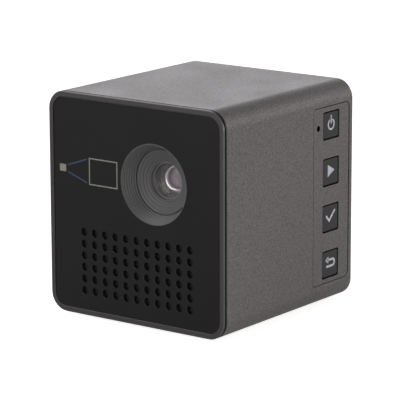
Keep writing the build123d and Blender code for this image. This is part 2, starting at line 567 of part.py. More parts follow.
# ---------------------------------------------------------------- light engine
ENGINE_LEFT, ENGINE_RIGHT, ENGINE_LOW, ENGINE_HIGH = -10.0, 15.0, 23.6, 41.6
ENGINE_WALL, LID_THICK = 1.2, 1.0
MIX_X = -4.4                # where the three colours meet
COLLIMATOR_R = 3.4
PRISM_SIDE = 9.0
engine_mid_x = (ENGINE_LEFT + ENGINE_RIGHT) / 2
engine_mid_depth = (BLOCK_FRONT + BLOCK_BACK) / 2
engine_width, engine_length = ENGINE_RIGHT - ENGINE_LEFT, BLOCK_BACK - BLOCK_FRONT
with BuildPart() as engine_housing:
    with BuildSketch(facing_up(ENGINE_LOW, engine_mid_x, engine_mid_depth)):
        RectangleRounded(engine_width, engine_length, 1.0)
    extrude(amount=ENGINE_HIGH - ENGINE_LOW)
    with BuildSketch(facing_up(ENGINE_LOW + ENGINE_WALL, engine_mid_x, engine_mid_depth)):
        Rectangle(engine_width - 2 * ENGINE_WALL, engine_length - 2 * ENGINE_WALL)
    extrude(amount=ENGINE_HIGH - ENGINE_LOW, mode=Mode.SUBTRACT)
    # the seat under the prisms
    with BuildSketch(facing_up(ENGINE_LOW, LENS_X, engine_mid_depth)):
        Rectangle(6.0, 6.0)
    extrude(amount=LENS_Z - PRISM_SIDE / 2 - ENGINE_LOW)
    # the way out to the lens and the window behind the display chip
    with BuildSketch(facing_front(BLOCK_BACK)):
        with Locations((LENS_X, LENS_Z)):
            Rectangle(9.0, 7.0)
    extrude(amount=4.0, mode=Mode.SUBTRACT)
    with BuildSketch(facing_front(BLOCK_FRONT + 3.0, LENS_X, LENS_Z)):
        Circle(5.0)
    extrude(amount=4.0, mode=Mode.SUBTRACT)
    # seats of two collimators: blue from the left, green from below
    with BuildSketch(facing_left(ENGINE_LEFT, engine_mid_depth, LENS_Z)):
        Circle(COLLIMATOR_R)
    extrude(amount=-2.0, mode=Mode.SUBTRACT)
    with BuildSketch(facing_up(ENGINE_LOW, MIX_X, engine_mid_depth)):
        Circle(COLLIMATOR_R)
    extrude(amount=2.0, mode=Mode.SUBTRACT)
save(engine_housing, "engine_housing")

with BuildPart() as engine_lid:
    with BuildSketch(facing_up(ENGINE_HIGH, engine_mid_x, engine_mid_depth)):
        RectangleRounded(engine_width, engine_length, 1.0)
    extrude(amount=LID_THICK)
    with BuildSketch(facing_up(ENGINE_HIGH, MIX_X, engine_mid_depth)):
        Circle(COLLIMATOR_R)
    extrude(amount=LID_THICK, mode=Mode.SUBTRACT)
save(engine_lid, "engine_lid")

# Two wedges with a thin air gap along their sloping faces.
PRISM_GAP = 0.1
with BuildPart() as prisms:
    half = PRISM_SIDE / 2
    with BuildSketch(facing_right(LENS_X, engine_mid_depth, LENS_Z)):
        with BuildLine():
            Polyline((-half, -half + PRISM_GAP), (-half, half), (half - PRISM_GAP, half), close=True)
        make_face()
        with BuildLine():
            Polyline((-half + PRISM_GAP, -half), (half, half - PRISM_GAP), (half, -half), close=True)
        make_face()
    extrude(amount=half, both=True)
save(prisms, "prisms")

with BuildPart() as dichroic_plates:
    with BuildSketch(facing_front(BLOCK_BACK - ENGINE_WALL, MIX_X, LENS_Z)):
        Rectangle(7.6, 0.4, rotation=45)
        Rectangle(7.6, 0.4, rotation=-45)
    extrude(amount=engine_length - 2 * ENGINE_WALL)
save(dichroic_plates, "dichroic_plates")

# Each collimator is plane outside and domed inside.
collimator_places = (
    Plane(origin=(ENGINE_LEFT, y_at(engine_mid_depth), LENS_Z), x_dir=(0, 1, 0), z_dir=(1, 0, 0)),
    facing_up(ENGINE_LOW, MIX_X, engine_mid_depth),
    Plane(origin=(MIX_X, y_at(engine_mid_depth), ENGINE_HIGH + LID_THICK), x_dir=(1, 0, 0),
          z_dir=(0, 0, -1)),
)
with BuildPart() as collimators:
    for place in collimator_places:
        with BuildSketch(place):
            Circle(COLLIMATOR_R - 0.02)
        extrude(amount=ENGINE_WALL)
        with BuildSketch(place.offset(ENGINE_WALL)):
            Circle(COLLIMATOR_R - 0.3)
        extrude(amount=0.5, taper=45)
save(collimators, "collimators")

# An aluminium board and a light-emitting chip outside each collimator.
with BuildPart() as led_modules:
    for place in collimator_places:
        with BuildSketch(place.offset(-1.0)):
            Rectangle(9.0, 9.0)
        extrude(amount=-1.0)
        with BuildSketch(place.offset(-1.0)):
            Circle(4.4)
            Circle(3.6, mode=Mode.SUBTRACT)
        extrude(amount=1.0)
        with BuildSketch(place.offset(-1.0)):
            Rectangle(3.0, 3.0)
        extrude(amount=0.7)
save(led_modules, "led_modules")

with BuildPart() as display_chip:
    with BuildSketch(facing_front(BLOCK_BACK + 1.2, LENS_X, LENS_Z)):
        Rectangle(13.0, 10.0)
    extrude(amount=1.2)
    with BuildSketch(facing_front(BLOCK_BACK, LENS_X, LENS_Z)):
        Rectangle(8.4, 6.0)
    extrude(amount=0.6)
save(display_chip, "display_chip")

with BuildPart() as chip_board:
    with BuildSketch(facing_front(BLOCK_BACK + 2.0, LENS_X, LENS_Z)):
        RectangleRounded(16.0, 14.0, 1.0)
    extrude(amount=0.8)
save(chip_board, "chip_board")

SINK_FINS = 9
with BuildPart() as heat_sink:
    sink_left, sink_right, sink_low, sink_high = -21.0, -4.4, 22.8, 41.8
    sink_mid_x, sink_mid_z = (sink_left + sink_right) / 2, (sink_low + sink_high) / 2
    with BuildSketch(facing_front(35.0, sink_mid_x, sink_mid_z)):
        Rectangle(sink_right - sink_left, sink_high - sink_low)
    extrude(amount=1.4)
    with BuildSketch(facing_front(39.4, sink_mid_x, sink_mid_z)):
        with GridLocations(0, (sink_high - sink_low - 0.7) / (SINK_FINS - 1), 1, SINK_FINS):
            Rectangle(sink_right - sink_left, 0.7)
    extrude(amount=4.4)
    # a foot that reaches forward along the board of the blue light
    with BuildSketch(facing_front(33.6, ENGINE_LEFT - 2.7, LENS_Z)):
        Rectangle(1.4, 12.0)
    extrude(amount=11.0)
save(heat_sink, "heat_sink")

# ---------------------------------------------------------------- fan
ROTOR_FRONT, ROTOR_BACK, SPIDER_FRONT = 40.6, 44.9, 45.3
FAN_SHAFT_R, FAN_BUSH_R = 0.75, 1.7
with BuildPart() as fan_frame:
    with BuildSketch(facing_front(FAN_BACK, FAN_X, FAN_Z)):
        RectangleRounded(FAN_SIZE, FAN_SIZE, 1.5)
        Circle(DUCT_R, mode=Mode.SUBTRACT)
    extrude(amount=FAN_BACK - FAN_FRONT)
    # three spokes and the motor plate behind the rotor
    with BuildSketch(facing_front(FAN_BACK, FAN_X, FAN_Z)):
        Circle(HUB_R + 0.3)
        with PolarLocations((HUB_R + DUCT_R) / 2, 3, 90):
            Rectangle(DUCT_R - HUB_R + 1.2, 1.6)
    extrude(amount=FAN_BACK - SPIDER_FRONT)
    with BuildSketch(facing_front(SPIDER_FRONT, FAN_X, FAN_Z)):
        Circle(FAN_BUSH_R)
    extrude(amount=SPIDER_FRONT - 42.0)
    with BuildSketch(facing_front(FAN_BACK - 0.5, FAN_X, FAN_Z)):
        Circle(FAN_SHAFT_R + 0.05)
    extrude(amount=5.0, mode=Mode.SUBTRACT)
save(fan_frame, "fan_frame")

with BuildPart() as fan_rotor:
    with BuildSketch(facing_front(ROTOR_BACK, FAN_X, FAN_Z)):
        Circle(HUB_R)
    extrude(amount=ROTOR_BACK - ROTOR_FRONT)
    with BuildSketch(facing_front(ROTOR_BACK, FAN_X, FAN_Z)):
        Circle(HUB_R - 0.7)
    extrude(amount=ROTOR_BACK - ROTOR_FRONT - 0.8, mode=Mode.SUBTRACT)
    fillet(fan_rotor.faces().sort_by(Axis.Y)[0].edges(), radius=0.4)
    with BuildSketch(facing_front(45.6, FAN_X, FAN_Z)):
        Circle(FAN_SHAFT_R)
    extrude(amount=45.6 - ROTOR_FRONT - 0.4)
    # each blade leans along the air's way
    for n in range(BLADES):
        turn = 360 * n / BLADES
        middle = (HUB_R + DUCT_R - 0.5) / 2
        spot = (FAN_X + middle * cos(radians(turn)), y_at((ROTOR_FRONT + ROTOR_BACK) / 2),
                FAN_Z + middle * sin(radians(turn)))
        outward = (cos(radians(turn)), 0, sin(radians(turn)))
        with BuildSketch(Plane(origin=spot, x_dir=(0, 1, 0), z_dir=outward)):
            Rectangle(4.6, 0.7, rotation=38)
        extrude(amount=(DUCT_R - 0.5 - HUB_R) / 2 + 0.15, both=True)
    with BuildSketch(facing_front(ROTOR_BACK, FAN_X, FAN_Z)):
        Circle(DUCT_R - 0.5)
    extrude(amount=ROTOR_BACK - ROTOR_FRONT, mode=Mode.INTERSECT)
    with BuildSketch(facing_front(45.6, FAN_X, FAN_Z)):
        Circle(FAN_SHAFT_R)
    extrude(amount=45.6 - ROTOR_FRONT - 0.4)
save(fan_rotor, "fan_rotor")

# ---------------------------------------------------------------- power and main board
BATTERY_MID = 25.4
with BuildPart() as battery:
    with BuildSketch(facing_up(DECK_HIGH, 0, BATTERY_MID)):
        RectangleRounded(BATTERY[0], BATTERY[1], 2.2)
    extrude(amount=BATTERY[2])
    fillet(battery.edges().filter_by(Plane.XY), radius=0.8)
save(battery, "battery")

with BuildPart() as main_board:
    with BuildSketch(facing_up(BOARD_Z, 0, (BOARD_FRONT + BOARD_BACK) / 2)):
        RectangleRounded(BOARD_WIDTH, BOARD_BACK - BOARD_FRONT, 1.0)
    extrude(amount=BOARD_THICK)
    with BuildSketch(facing_up(BOARD_Z)):
        with Locations(*standoffs):
            Circle(SCREW_HOLE_R + 0.1)
    extrude(amount=BOARD_THICK, mode=Mode.SUBTRACT)
save(main_board, "main_board")

# Plain packages on the board: middle x, depth, width, length, height.
CHIPS = (
    (-2.0, 24.0, 12.0, 12.0, 1.1),    # processor
    (8.6, 22.0, 6.0, 10.0, 0.9),      # memory
    (-12.0, 19.0, 7.0, 9.0, 1.8),     # radio module in its can
    (7.8, 31.4, 4.0, 4.0, 2.0),       # three coils of the supply
    (12.6, 31.4, 4.0, 4.0, 2.0),
    (-3.6, 32.2, 3.6, 3.6, 2.0),
    (-10.6, 31.0, 5.0, 5.0, 0.9),     # charger
)
with BuildPart() as board_chips:
    for x, depth, width, length, height in CHIPS:
        with BuildSketch(facing_up(BOARD_TOP, x, depth)):
            RectangleRounded(width, length, 0.25)
        extrude(amount=height)
save(board_chips, "board_chips")

PORT_FRONT, PORT_BACK = 42.4, 48.2
with BuildPart() as usb_socket:
    with BuildSketch(facing_front(PORT_BACK, USB_X, BOARD_TOP + 1.3)):
        with BuildLine():
            Polyline((-3.6, 1.3), (3.6, 1.3), (3.6, -0.4), (2.8, -1.3), (-2.8, -1.3), (-3.6, -0.4),
                     close=True)
        make_face()
    extrude(amount=PORT_BACK - PORT_FRONT)
    with BuildSketch(facing_front(PORT_BACK, USB_X, BOARD_TOP + 1.3)):
        with BuildLine():
            Polyline((-3.3, 1.0), (3.3, 1.0), (3.3, -0.3), (2.6, -1.0), (-2.6, -1.0), (-3.3, -0.3),
                     close=True)
        make_face()
        with Locations((0, 0.35)):
            Rectangle(5.0, 0.5, mode=Mode.SUBTRACT)
    extrude(amount=4.8, mode=Mode.SUBTRACT)
save(usb_socket, "usb_socket")

JACK_BORE_R = 1.8
with BuildPart() as audio_jack:
    with BuildSketch(facing_front(BOARD_BACK, JACK_X, BOARD_TOP + 2.6)):
        Rectangle(6.2, 5.2)
    extrude(amount=11.4)
    with BuildSketch(facing_front(PORT_BACK, JACK_X, JACK_Z)):
        Circle(2.9)
    extrude(amount=PORT_BACK - BOARD_BACK)
    with BuildSketch(facing_front(PORT_BACK, JACK_X, JACK_Z)):
        Circle(JACK_BORE_R)
    extrude(amount=12.6, mode=Mode.SUBTRACT)
save(audio_jack, "audio_jack")

with BuildPart() as card_socket:
    with BuildSketch(facing_front(47.4, CARD_X, BOARD_TOP + 0.9)):
        Rectangle(12.6, 1.8)
        Rectangle(11.4, 1.0, mode=Mode.SUBTRACT)
    extrude(amount=13.0)
    with BuildSketch(facing_front(34.9, CARD_X, BOARD_TOP + 0.9)):
        Rectangle(12.6, 1.8)
    extrude(amount=0.5)
save(card_socket, "card_socket")

# ---------------------------------------------------------------- leads
# The key flex lies on the key board, turns over the main board and ends on its socket.
with BuildPart() as key_flex:
    with BuildSketch(facing_front(41.0)):
        with BuildLine():
            Polyline((KEYBOARD_X, 23.0), (KEYBOARD_X - 0.2, 23.0), (KEYBOARD_X - 0.2, BOARD_TOP + 0.9),
                     (14.6, BOARD_TOP + 0.9), (14.6, BOARD_TOP + 0.7), (KEYBOARD_X, BOARD_TOP + 0.7),
                     close=True)
        make_face()
    extrude(amount=-4.0)
    with BuildSketch(facing_up(BOARD_TOP, 14.2, 43.0)):
        Rectangle(3.0, 5.0)
    extrude(amount=1.6)
save(key_flex, "key_flex")

WIRE_R = 0.35
with BuildPart() as speaker_lead:
    with BuildSketch(facing_front(12.0)):
        with Locations((-12.8, 18.2), (-11.8, 18.2)):
            Circle(WIRE_R)
    extrude(amount=12.0 - SPEAKER_BACK)
    with BuildSketch(facing_up(BOARD_TOP, -12.3, 13.0)):
        Rectangle(4.0, 2.0)
    extrude(amount=2.6)
save(speaker_lead, "speaker_lead")

FAN_PLUG_X, FAN_PLUG_DEPTH, FAN_WIRE_Z = 2.1, 32.2, 21.0
with BuildPart() as fan_lead:
    with BuildSketch(facing_up(BOARD_TOP, FAN_PLUG_X, FAN_PLUG_DEPTH)):
        Rectangle(4.4, 3.0)
    extrude(amount=2.5)
    for wire_x in (FAN_PLUG_X - 0.5, FAN_PLUG_X + 0.5):
        with BuildLine(facing_right(wire_x)) as path:
            FilletPolyline((FAN_FRONT, FAN_WIRE_Z), (FAN_PLUG_DEPTH, FAN_WIRE_Z),
                           (FAN_PLUG_DEPTH, BOARD_TOP + 2.3), radius=1.2)
        with BuildSketch(facing_front(FAN_FRONT, wire_x, FAN_WIRE_Z)):
            Circle(WIRE_R)
        sweep(path=path.line)
save(fan_lead, "fan_lead")

with BuildPart() as battery_lead:
    battery_rear = BATTERY_MID + BATTERY[1] / 2
    with BuildSketch(facing_up(BOARD_Z, -4.5, 43.2)):
        Rectangle(4.4, 3.0)
    extrude(amount=-2.4)
    for wire_x in (-5.0, -4.0):
        with BuildLine(facing_right(wire_x)) as path:
            FilletPolyline((battery_rear, 10.6), (43.2, 10.6), (43.2, 13.2), radius=1.2)
        with BuildSketch(facing_front(battery_rear, wire_x, 10.6)):
            Circle(WIRE_R)
        sweep(path=path.line)
save(battery_lead, "battery_lead")

# ---------------------------------------------------------------- rear cover and underside
COVER_WIDTH = WIDTH - 2 * (WALL + SLIP)
COVER_HEIGHT = HEIGHT - 2 * (WALL + SLIP)
VENT_SLOTS, VENT_PITCH, VENT_WIDTH = 9, 2.4, 1.3
with BuildPart() as rear_cover:
    with BuildSketch(facing_front(REAR_COVER_BACK, z=MID_Z)):
        RectangleRounded(COVER_WIDTH, COVER_HEIGHT, CORNER - WALL - SLIP)
    extrude(amount=REAR_COVER_BACK - REAR_STEP)
    with BuildSketch(facing_front(REAR_STEP, z=MID_Z)):
        RectangleRounded(COVER_WIDTH - 2.4, COVER_HEIGHT - 2.4, 2.2)
    extrude(amount=REAR_STEP - REAR_COVER_FRONT)
    chamfer(rear_cover.faces().sort_by(Axis.Y)[-1].outer_wire().edges(), length=0.25)
    # air slots in front of the fan, each as long as the round duct is there
    with BuildSketch(facing_front(REAR_COVER_BACK, FAN_X, FAN_Z)):
        for n in range(VENT_SLOTS):
            height = (n - (VENT_SLOTS - 1) / 2) * VENT_PITCH
            with Locations((0, height)):
                SlotOverall(2 * sqrt(DUCT_R**2 - height**2) - 0.8, VENT_WIDTH)
    extrude(amount=REAR_COVER_BACK, mode=Mode.SUBTRACT)
    # sockets, and a wider air grille above and beside the fan
    with BuildSketch(facing_front(REAR_COVER_BACK)):
        with Locations((USB_X, BOARD_TOP + 1.3)):
            RectangleRounded(8.2, 3.6, 0.8)
        with Locations((CARD_X, BOARD_TOP + 0.9)):
            RectangleRounded(13.2, 2.4, 0.6)
        with Locations((JACK_X, JACK_Z)):
            Circle(3.1)
        with Locations((12.6, FAN_Z)):
            with GridLocations(0, VENT_PITCH, 1, VENT_SLOTS):
                SlotOverall(9.0, VENT_WIDTH)
    extrude(amount=REAR_COVER_BACK, mode=Mode.SUBTRACT)
    with Locations(Plane(origin=(0, y_at(REAR_COVER_BACK), MID_Z), x_dir=(1, 0, 0), z_dir=(0, 1, 0))):
        with Locations(*[(x, -z) for x, z in posts]):
            CounterBoreHole(SCREW_HOLE_R + 0.1, SCREW_HEAD_R + 0.1, SCREW_HEAD + 0.2, depth=6.0)
save(rear_cover, "rear_cover")

FEET_X, FEET_DEPTHS = 16.5, (8.0, 41.0)
with BuildPart() as feet:
    with BuildSketch(facing_up(0)):
        for depth in FEET_DEPTHS:
            for side in (-1, 1):
                with Locations((side * FEET_X, y_at(depth))):
                    Circle(3.0)
    extrude(amount=FOOT)
    chamfer(feet.faces().sort_by(Axis.Z)[:4].edges(), length=0.2)
save(feet, "feet")

with BuildPart() as tripod_bush:
    with BuildSketch(facing_up(FOOT)):
        Circle(TRIPOD_R)
    extrude(amount=TRIPOD_DEPTH)
    with BuildSketch(facing_up(FOOT)):
        Circle(TRIPOD_THREAD_R)
    extrude(amount=TRIPOD_DEPTH - 0.8, mode=Mode.SUBTRACT)
save(tripod_bush, "tripod_bush")


# ---------------------------------------------------------------- screws
def screws(label, places, length):
    """Writes a group of cross-head screws. Each place is a plane under a screw's head."""
    with BuildPart() as group:
        for place in places:
            with BuildSketch(place):
                Circle(SCREW_HEAD_R)
            extrude(amount=SCREW_HEAD)
            with BuildSketch(place):
                Circle(SCREW_R)
            extrude(amount=-length)
            with BuildSketch(place.offset(SCREW_HEAD)):
                Rectangle(1.5, 0.35)
                Rectangle(0.35, 1.5)
            extrude(amount=-0.4, mode=Mode.SUBTRACT)
    save(group, label)


rear_heads = REAR_COVER_BACK - SCREW_HEAD - 0.2
front_heads = PANEL_BACK + SCREW_HEAD + 0.2
screws("rear_screws", [facing_front(rear_heads, x, MID_Z + z).rotated((180, 0, 0))
                       for x, z in posts], 5.0)
screws("front_screws", [facing_front(front_heads, x, MID_Z + z) for x, z in posts], 6.0)
screws("board_screws", [facing_up(BOARD_TOP, x, y + LENGTH / 2) for x, y in standoffs], 4.0)
screws("mount_screws", [facing_front(BLOCK_FRONT, x, z).rotated((180, 0, 0))
                        for x, z in pillars], 3.6)
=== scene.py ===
"""The looks of a pocket cube projector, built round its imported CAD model. Metres."""
import json
from math import atan2, cos, degrees, pi, radians, sin

import bmesh
import bpy
from mathutils import Matrix, Vector
from mathutils.geometry import tessellate_polygon


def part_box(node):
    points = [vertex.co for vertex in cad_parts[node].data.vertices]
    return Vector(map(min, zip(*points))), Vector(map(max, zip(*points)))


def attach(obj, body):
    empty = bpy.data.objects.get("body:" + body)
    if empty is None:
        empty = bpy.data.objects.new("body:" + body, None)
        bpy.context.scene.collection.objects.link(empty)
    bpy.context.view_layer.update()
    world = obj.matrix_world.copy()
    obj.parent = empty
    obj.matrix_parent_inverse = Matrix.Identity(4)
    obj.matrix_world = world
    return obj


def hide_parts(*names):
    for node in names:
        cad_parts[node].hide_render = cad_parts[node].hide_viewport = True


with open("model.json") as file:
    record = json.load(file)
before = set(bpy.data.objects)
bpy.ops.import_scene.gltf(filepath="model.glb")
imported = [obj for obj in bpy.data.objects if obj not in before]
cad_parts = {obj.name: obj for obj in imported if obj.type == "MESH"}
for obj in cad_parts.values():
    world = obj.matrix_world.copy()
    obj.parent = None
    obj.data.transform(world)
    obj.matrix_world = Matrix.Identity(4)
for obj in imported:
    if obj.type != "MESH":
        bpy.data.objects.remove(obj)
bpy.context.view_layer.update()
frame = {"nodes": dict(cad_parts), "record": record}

MM = 0.001
NODES = frame["nodes"]


def middle(node):
    """The middle of a CAD node's box."""
    low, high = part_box(node)
    return (low + high) / 2


def local_end(node, axis, way=max):
    """Where a CAD node ends along an axis (0, 1 or 2), in its own coordinates."""
    return way(vertex.co[axis] for vertex in NODES[node].data.vertices)


# ---------------------------------------------------------------- camera
TARGET = Vector((-1.054, 0.5, 23.98)) * MM
AZIMUTH, ELEVATION, ROLL = radians(36.78), radians(12.71), radians(-0.18)
DISTANCE = 572.05 * MM
LENS_MM = 228.85


def make_camera():
    """Looks at the front and the key side from a little above, with a long lens."""
    data = bpy.data.cameras.new("camera")
    data.lens = LENS_MM
    data.sensor_width = 36.0
    data.clip_start = 0.01
    camera = bpy.data.objects.new("camera", data)
    bpy.context.scene.collection.objects.link(camera)
    away = Vector((sin(AZIMUTH) * cos(ELEVATION), -cos(AZIMUTH) * cos(ELEVATION), sin(ELEVATION)))
    camera.location = TARGET + away * DISTANCE
    aim = away.to_track_quat("Z", "Y").to_matrix().to_4x4()
    camera.matrix_world = Matrix.Translation(camera.location) @ aim @ Matrix.Rotation(ROLL, 4, "Z")
    bpy.context.scene.camera = camera


# ---------------------------------------------------------------- materials
class Finish:
    """A node material that is built up in layers: colour, roughness, then bump."""

    def __init__(self, name, color, roughness, metallic=0.0):
        self.material = bpy.data.materials.new(name)
        self.material.use_nodes = True
        self.nodes = self.material.node_tree.nodes
        self.links = self.material.node_tree.links
        self.shader = self.nodes["Principled BSDF"]
        self.shader.inputs["Metallic"].default_value = metallic
        self.shader.inputs["Roughness"].default_value = roughness
        coordinates = self.nodes.new("ShaderNodeTexCoord")
        self.place, self.facing = coordinates.outputs["Object"], coordinates.outputs["Normal"]
        self.roughness = roughness
        plain = self.nodes.new("ShaderNodeRGB")
        plain.outputs[0].default_value = (*color, 1)
        self.color = plain.outputs[0]

    def value(self, socket, value):
        """Sets a shader input that is the same all over."""
        self.shader.inputs[socket].default_value = value
        return self

    def noise(self, size, detail, stretch=(1, 1, 1)):
        """Noise with features of this size in millimetres."""
        mapping = self.nodes.new("ShaderNodeMapping")
        mapping.inputs["Scale"].default_value = stretch
        self.links.new(self.place, mapping.inputs["Vector"])
        noise = self.nodes.new("ShaderNodeTexNoise")
        noise.inputs["Scale"].default_value = 1 / (size * MM)
        noise.inputs["Detail"].default_value = detail
        self.links.new(mapping.outputs[0], noise.inputs["Vector"])
        return noise.outputs["Fac"]

    def remap(self, source, low, high, new_low, new_high):
        """Stretches source from low..high to new_low..new_high, and stops at the ends."""
        node = self.nodes.new("ShaderNodeMapRange")
        for socket, value in zip(("From Min", "From Max", "To Min", "To Max"),
                                 (low, high, new_low, new_high)):
            node.inputs[socket].default_value = value
        self.links.new(source, node.inputs["Value"])
        return node.outputs[0]

    def work_out(self, kind, operation, *terms):
        """The outputs of a math node. Each term is another node's output, or a fixed vector."""
        node = self.nodes.new(kind)
        node.operation = operation
        for n, term in enumerate(terms):
            if isinstance(term, tuple):
                node.inputs[n].default_value = term
            else:
                self.links.new(term, node.inputs[n])
        return node.outputs

    def along(self, vector, axis):
        """One part of a vector: "X", "Y" or "Z"."""
        split = self.nodes.new("ShaderNodeSeparateXYZ")
        self.links.new(vector, split.inputs[0])
        return split.outputs[axis]

    def deeper(self, axis, start, end):
        """0 at start along an axis of the object, in metres, rising to 1 at end."""
        return self.remap(self.along(self.place, axis), start, end, 0.0, 1.0)

    def slanted(self, axis):
        """1 on chamfers between a face along this axis of the object and its sides."""
        size = self.work_out("ShaderNodeMath", "ABSOLUTE", self.along(self.facing, axis))[0]
        not_side = self.remap(size, 0.3, 0.55, 0, 1)
        not_face = self.remap(size, 0.82, 0.95, 1, 0)
        return self.work_out("ShaderNodeMath", "MULTIPLY", not_side, not_face)[0]

    def facing_out(self, center_z):
        """1 where the surface looks away from the line x = 0, z = center_z."""
        offset = self.work_out("ShaderNodeVectorMath", "SUBTRACT", self.place, (0, 0, center_z))[0]
        across = self.work_out("ShaderNodeVectorMath", "MULTIPLY", offset, (1, 0, 1))[0]
        away = self.work_out("ShaderNodeVectorMath", "DOT_PRODUCT", across, self.facing)["Value"]
        return self.remap(away, 2 * MM, 6 * MM, 0, 1)

    def shade(self, source, dark, light):
        """Multiplies the colour by dark..light as source goes from 0.3 to 0.7."""
        node = self.nodes.new("ShaderNodeVectorMath")
        node.operation = "SCALE"
        self.links.new(self.color, node.inputs[0])
        self.links.new(self.remap(source, 0.3, 0.7, dark, light), node.inputs["Scale"])
        self.color = node.outputs[0]
        return self

    def tint(self, mask, color):
        """Mixes another colour in where mask is 1."""
        node = self.nodes.new("ShaderNodeMix")
        node.data_type = "RGBA"
        self.links.new(mask, node.inputs["Factor"])
        self.links.new(self.color, node.inputs["A"])
        node.inputs["B"].default_value = (*color, 1)
        self.color = node.outputs["Result"]
        return self

    def smudge(self, size, spread):
        """Varies the roughness by up to spread either way."""
        smooth, rough = self.roughness - spread, self.roughness + spread
        varied = self.remap(self.noise(size, 4), 0.3, 0.7, smooth, rough)
        self.links.new(varied, self.shader.inputs["Roughness"])
        return self

    def bump(self, source, depth):
        """Raises the surface by depth millimetres where source is 1."""
        node = self.nodes.new("ShaderNodeBump")
        node.inputs["Strength"].default_value = 1.0
        node.inputs["Distance"].default_value = depth * MM
        self.links.new(source, node.inputs["Height"])
        self.links.new(node.outputs[0], self.shader.inputs["Normal"])
        return self

    def edge_mask(self, radius):
        """1 on edges that are sharper than this radius in millimetres, and 0 elsewhere."""
        bevel = self.nodes.new("ShaderNodeBevel")
        bevel.samples = 4
        bevel.inputs["Radius"].default_value = radius * MM
        true_normal = self.nodes.new("ShaderNodeNewGeometry").outputs["Normal"]
        agreement = self.work_out("ShaderNodeVectorMath", "DOT_PRODUCT", bevel.outputs[0],
                                  true_normal)["Value"]
        return self.remap(agreement, 0.99, 0.90, 0.0, 1.0)

    def done(self):
        """Joins the colour layers to the shader and returns the material."""
        self.links.new(self.color, self.shader.inputs["Base Color"])
        return self.material


GAP_SHADE = (0.004, 0.004, 0.004)          # painted shade: the near-black colour painted where narrow gaps fall into shade


def blasted_metal(name, shaded_below=None, front=None):
    """Bead-blasted grey metal: a fine sparkle over slow changes of tone, and a painted highlight
    on sharp edges. The rim at front, a local Y, gets a painted shade of the seam in front of it.
    So do chamfers along X, and surfaces whose X is below shaded_below, such as the walls of the
    key holes, where that is given."""
    f = Finish(name, (0.268, 0.251, 0.248), 0.44, 0.75)
    f.shade(f.noise(60, 2), 0.96, 1.04)
    f.shade(f.noise(0.33, 2), 0.68, 1.32)
    # painted highlight: sharp edges are tinted paler, as if a rounded edge caught the light
    f.tint(f.remap(f.edge_mask(0.25), 0, 1, 0, 0.6), (0.55, 0.54, 0.54))
    f.smudge(14, 0.04)
    f.bump(f.noise(0.2, 2), 0.024)
    if front is not None:
        # painted shade: the band just behind the front rim is darkened for the shade of the seam
        # between bezel and sleeve
        dark_end, fade_end = 0.12 * MM, 0.24 * MM
        f.tint(f.deeper("Y", front + fade_end, front + dark_end), (0.06, 0.06, 0.06))
    if shaded_below is not None:
        # painted shade: chamfers along X are darkened, and surfaces deeper than shaded_below get the
        # painted gap shade of the key holes
        f.tint(f.slanted("X"), (0.02, 0.02, 0.02))
        f.tint(f.deeper("X", shaded_below, shaded_below - 0.1 * MM), GAP_SHADE)
    return f.done()


def bezel_metal():
    """Dark anodised metal with a painted highlight on its outer chamfer, and a painted shade in the
    seam behind its rim.
    """
    f = Finish("bezel_metal", (0.062, 0.058, 0.058), 0.36, 0.55)
    f.shade(f.noise(25, 2), 0.94, 1.06)
    f.shade(f.noise(0.3, 2), 0.93, 1.07)
    center_z = (local_end("front_bezel", 2, min) + local_end("front_bezel", 2)) / 2
    # painted highlight: the outward-facing chamfer of the rim is tinted paler, standing in for its
    # glint
    painted_edge_highlight = f.work_out("ShaderNodeMath", "MULTIPLY", f.slanted("Y"), f.facing_out(center_z))[0]
    f.tint(painted_edge_highlight, (0.125, 0.122, 0.12))
    rim_thickness, fade = 0.37 * MM, 0.08 * MM
    seam = local_end("front_bezel", 1, min) + rim_thickness
    # painted shade: the bezel deeper than its rim, inside the seam, gets the painted gap shade
    f.tint(f.deeper("Y", seam, seam + fade), GAP_SHADE)
    f.smudge(9, 0.05)
    f.bump(f.noise(0.25, 2), 0.005)
    return f.done()


def gloss_black():
    """Gloss panel with faint wiping marks and a little dust. Its holes get a painted highlight on
    their rims and a painted dim light on their walls, darker than the rims but paler than the face."""
    f = Finish("panel_gloss", (0.005, 0.005, 0.0055), 0.16)
    f.value("Specular IOR Level", 0.36)
    f.shade(f.noise(40, 2), 0.9, 1.1)
    face = local_end("front_panel", 1, min)
    # painted highlight on the holes' rims just behind the face, then painted dim light on their
    # walls, for the light they catch
    for start, end, color in ((0.01, 0.04, (0.09, 0.088, 0.087)), (0.12, 0.3, (0.018, 0.018, 0.018))):
        f.tint(f.deeper("Y", face + start * MM, face + end * MM), color)
    f.tint(f.remap(f.noise(0.4, 1), 0.78, 0.86, 0, 0.4), (0.10, 0.10, 0.10))
    f.smudge(7, 0.05)
    f.bump(f.noise(6, 2), 0.01)
    return f.done()


def moulded(name, color, roughness, grain=0.35, depth=0.015, coat=0.0, shaded_below=None):
    """Moulded plastic with a fine spark-eroded texture and a painted highlight on sharp edges.
    Surfaces whose X is below shaded_below get a painted shade, nearly black."""
    f = Finish(name, color, roughness)
    f.shade(f.noise(18, 3), 0.92, 1.08)
    f.shade(f.noise(grain, 2), 0.94, 1.06)
    # painted highlight: sharp edges are tinted paler, as if a rounded edge caught the light
    f.tint(f.remap(f.edge_mask(0.15), 0, 1, 0, 0.35), tuple(min(1, 2.4 * c + 0.03) for c in color))
    f.smudge(6, 0.06)
    f.bump(f.noise(grain, 2), depth)
    f.value("Coat Weight", coat)
    # painted shade: surfaces deeper than shaded_below, such as the sides of a key in its hole, are
    # nearly black
    if shaded_below is not None:
        f.tint(f.deeper("X", shaded_below, shaded_below - 0.14 * MM), (0.002, 0.002, 0.002))
    return f.done()


